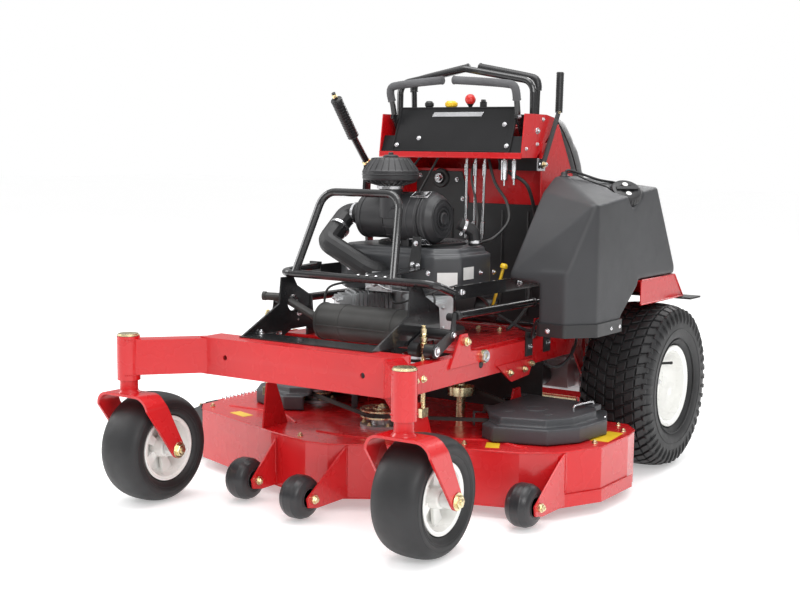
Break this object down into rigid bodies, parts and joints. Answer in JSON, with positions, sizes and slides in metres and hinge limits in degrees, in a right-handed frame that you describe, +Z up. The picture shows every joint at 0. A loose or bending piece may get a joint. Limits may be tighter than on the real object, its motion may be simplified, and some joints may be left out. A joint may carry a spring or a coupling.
{
  "type": "stand-on zero-turn mower",
  "caption": "Stand-on zero-turn lawn mower with side-discharge deck, swivelling front casters, turf drive tyres, rear engine, fuel tank, control console and folding operator platform.",
  "frame": {"origin": "middle of the machine's footprint, on the ground", "axes": "+X to the machine's left, +Y towards its rear (the operator's end), +Z up"},
  "size_m": [1.664, 1.893, 1.3524],
  "materials": {
    "red_paint": "gloss powder coat",
    "black_paint": "gloss powder coat",
    "white_paint": "gloss enamel",
    "muffler_paint": "matt heat-resistant black",
    "engine_alloy": "bare sand-cast",
    "engine_cover": "textured moulding",
    "rubber_hose": "matt black",
    "rubber_sheet": "flat sheet",
    "tank_plastic": "grained dark grey rotomoulding",
    "pad_vinyl": "stitched black vinyl over foam",
    "zinc_plate": "yellow zinc plate",
    "steel": "machined",
    "black_plastic": "moulded",
    "red_plastic": "moulded",
    "yellow_plastic": "moulded",
    "grip_rubber": "foam grip on steel tube",
    "roller_plastic": "moulded",
    "tyre": "turf tread"
  },
  "bodies": {
    "chassis": {"main_frame": "red_paint", "rear_tower": "red_paint", "fenders": "red_paint", "mud_flaps": "rubber_sheet", "engine_guard": "black_paint", "guard_brackets": "black_paint", "muffler": "muffler_paint", "engine_block": "engine_alloy", "engine_shroud": "engine_cover", "air_cleaner": "engine_cover", "precleaner": "engine_cover", "intake_hoses": "rubber_hose", "fuel_tank": "tank_plastic", "tank_tray": "black_paint", "console_shell": "red_paint", "console_panel": "black_paint", "reference_bar": "black_paint", "hip_pad": "pad_vinyl", "control_rods": "zinc_plate", "drive_units": "engine_alloy", "traction_belt": "rubber_hose", "battery": "black_plastic", "frame_hardware": "zinc_plate"},
    "swivel_left": {"caster_fork_left": "red_paint"},
    "swivel_right": {"caster_fork_right": "red_paint"},
    "caster_wheel_left": {"caster_rim_left": "white_paint", "caster_tyre_left": "tyre"},
    "caster_wheel_right": {"caster_rim_right": "white_paint", "caster_tyre_right": "tyre"},
    "drive_wheel_left": {"drive_rim_left": "white_paint", "drive_tyre_left": "tyre"},
    "drive_wheel_right": {"drive_rim_right": "white_paint", "drive_tyre_right": "tyre"},
    "deck": {"deck_shell": "red_paint", "belt_cover_left": "tank_plastic", "belt_cover_right": "tank_plastic", "spindle_housings": "engine_alloy", "deck_belt": "rubber_hose", "deck_hardware": "zinc_plate"},
    "roller_left": {"roller_left": "roller_plastic"},
    "roller_centre": {"roller_centre": "roller_plastic"},
    "roller_right": {"roller_right": "roller_plastic"},
    "spindle_left": {"spindle_left": "steel"},
    "spindle_centre": {"spindle_centre": "steel"},
    "spindle_right": {"spindle_right": "steel"},
    "idler": {"idler_pulley": "zinc_plate"},
    "deflector": {"deflector": "black_paint"},
    "lift_lever": {"lift_lever": "black_paint"},
    "lift_bellcranks": {"lift_bellcranks": "black_paint"},
    "lift_links": {"lift_links": "black_paint"},
    "control_lever_left": {"control_lever_left": "grip_rubber"},
    "control_lever_right": {"control_lever_right": "grip_rubber"},
    "brake_lever": {"brake_lever": "grip_rubber"},
    "throttle": {"throttle_knob": "red_plastic"},
    "choke": {"choke_knob": "black_plastic"},
    "blade_switch": {"pto_knob": "yellow_plastic"},
    "key": {"ignition_key": "black_plastic"},
    "fuel_cap": {"fuel_cap": "black_plastic"},
    "crank": {"crank_pulley": "steel"},
    "platform": {"platform": "black_paint"}
  },
  "joints": [
    {"name": "caster_swivel_left", "type": "hinge", "parent": "chassis", "child": "swivel_left", "pos_m": [0.629, -0.8785, 0.44], "axis": [0, 0, 1], "continuous": true},
    {"name": "caster_spin_left", "type": "hinge", "parent": "swivel_left", "child": "caster_wheel_left", "pos_m": [0.629, -0.7815, 0.165], "axis": [1, 0, 0], "continuous": true},
    {"name": "drive_spin_left", "type": "hinge", "parent": "chassis", "child": "drive_wheel_left", "pos_m": [0.663, 0.5335, 0.278], "axis": [1, 0, 0], "continuous": true},
    {"name": "control_left", "type": "hinge", "parent": "chassis", "child": "control_lever_left", "pos_m": [0.379, 0.1835, 1.085], "axis": [1, 0, 0], "range_deg": [-7, 7], "stiffness_Nm_per_rad": 25},
    {"name": "caster_swivel_right", "type": "hinge", "parent": "chassis", "child": "swivel_right", "pos_m": [-0.353, -0.8785, 0.44], "axis": [0, 0, 1], "continuous": true},
    {"name": "caster_spin_right", "type": "hinge", "parent": "swivel_right", "child": "caster_wheel_right", "pos_m": [-0.353, -0.7815, 0.165], "axis": [1, 0, 0], "continuous": true},
    {"name": "drive_spin_right", "type": "hinge", "parent": "chassis", "child": "drive_wheel_right", "pos_m": [-0.387, 0.5335, 0.278], "axis": [1, 0, 0], "continuous": true},
    {"name": "control_right", "type": "hinge", "parent": "chassis", "child": "control_lever_right", "pos_m": [-0.103, 0.1835, 1.085], "axis": [1, 0, 0], "range_deg": [-7, 7], "stiffness_Nm_per_rad": 25},
    {"name": "deck_lift_lever", "type": "hinge", "parent": "chassis", "child": "lift_lever", "pos_m": [-0.214, 0.1515, 0.5], "axis": [-1, 0, 0], "range_deg": [0, 20]},
    {"name": "deck_lift", "type": "slide", "parent": "chassis", "child": "deck", "axis": [0, 0, 1], "range_m": [0, 0.076], "deforming": ["deck_belt"]},
    {"name": "bellcrank_turn", "type": "hinge", "parent": "chassis", "child": "lift_bellcranks", "pos_m": [0.138, -0.4035, 0.532], "axis": [-1, 0, 0], "range_deg": [0, 49]},
    {"name": "link_pull", "type": "slide", "parent": "chassis", "child": "lift_links", "axis": [0, 1, 0], "range_m": [0, 0.0285]},
    {"name": "crank_spin", "type": "hinge", "parent": "chassis", "child": "crank", "pos_m": [0.138, -0.0785, 0.5], "axis": [0, 0, 1], "continuous": true},
    {"name": "spindle_spin_left", "type": "hinge", "parent": "deck", "child": "spindle_left", "pos_m": [0.568, -0.0685, 0.15], "axis": [0, 0, 1], "continuous": true},
    {"name": "spindle_spin_centre", "type": "hinge", "parent": "deck", "child": "spindle_centre", "pos_m": [0.138, -0.2785, 0.15], "axis": [0, 0, 1], "continuous": true},
    {"name": "spindle_spin_right", "type": "hinge", "parent": "deck", "child": "spindle_right", "pos_m": [-0.292, -0.0685, 0.15], "axis": [0, 0, 1], "continuous": true},
    {"name": "idler_spin", "type": "hinge", "parent": "deck", "child": "idler", "pos_m": [0.288, -0.0545, 0.298], "axis": [0, 0, 1], "continuous": true},
    {"name": "roller_spin_left", "type": "hinge", "parent": "deck", "child": "roller_left", "pos_m": [0.723, -0.4085, 0.07], "axis": [1, 0, 0], "continuous": true},
    {"name": "roller_spin_centre", "type": "hinge", "parent": "deck", "child": "roller_centre", "pos_m": [0.153, -0.7085, 0.07], "axis": [1, 0, 0], "continuous": true},
    {"name": "roller_spin_right", "type": "hinge", "parent": "deck", "child": "roller_right", "pos_m": [-0.114, -0.6385, 0.07], "axis": [1, 0, 0], "continuous": true},
    {"name": "deflector_swing", "type": "hinge", "parent": "deck", "child": "deflector", "pos_m": [-0.565, -0.1335, 0.192], "axis": [0, 1, 0], "range_deg": [0, 75], "stiffness_Nm_per_rad": 1.5, "springref_deg": -22.92},
    {"name": "brake_swing", "type": "hinge", "parent": "chassis", "child": "brake_lever", "pos_m": [0.434, 0.1915, 1.02], "axis": [1, 0, 0], "range_deg": [0, 32]},
    {"name": "throttle_swing", "type": "hinge", "parent": "chassis", "child": "throttle", "pos_m": [0.175, 0.1665, 1.08], "axis": [-1, 0, 0], "range_deg": [0, 33]},
    {"name": "choke_pull", "type": "slide", "parent": "chassis", "child": "choke", "axis": [0, 0, 1], "range_m": [0, 0.02]},
    {"name": "blade_switch_pull", "type": "slide", "parent": "chassis", "child": "blade_switch", "axis": [0, 0, 1], "range_m": [0, 0.015]},
    {"name": "key_turn", "type": "hinge", "parent": "chassis", "child": "key", "pos_m": [0.222, 0.1665, 1.16], "axis": [0, 0, 1], "range_deg": [0, 60]},
    {"name": "fuel_cap_turn", "type": "hinge", "parent": "chassis", "child": "fuel_cap", "pos_m": [0.693, 0.2665, 0.922], "axis": [0.4215, -0.4215, 0.8029], "range_deg": [0, 90]},
    {"name": "platform_fold", "type": "hinge", "parent": "chassis", "child": "platform", "pos_m": [0.138, 0.6515, 0.168], "axis": [1, 0, 0], "range_deg": [0, 88]}
  ],
  "couplings": [
    {"joint": "deck_lift", "follows": "deck_lift_lever", "m_per_rad": 0.2177},
    {"joint": "bellcrank_turn", "follows": "deck_lift_lever", "ratio": 2.44},
    {"joint": "link_pull", "follows": "deck_lift_lever", "m_per_rad": 0.0814},
    {"joint": "spindle_spin_left", "follows": "crank_spin", "ratio": 1.07},
    {"joint": "spindle_spin_centre", "follows": "crank_spin", "ratio": 1.07},
    {"joint": "spindle_spin_right", "follows": "crank_spin", "ratio": 1.07},
    {"joint": "idler_spin", "follows": "crank_spin", "ratio": 1.42}
  ]
}
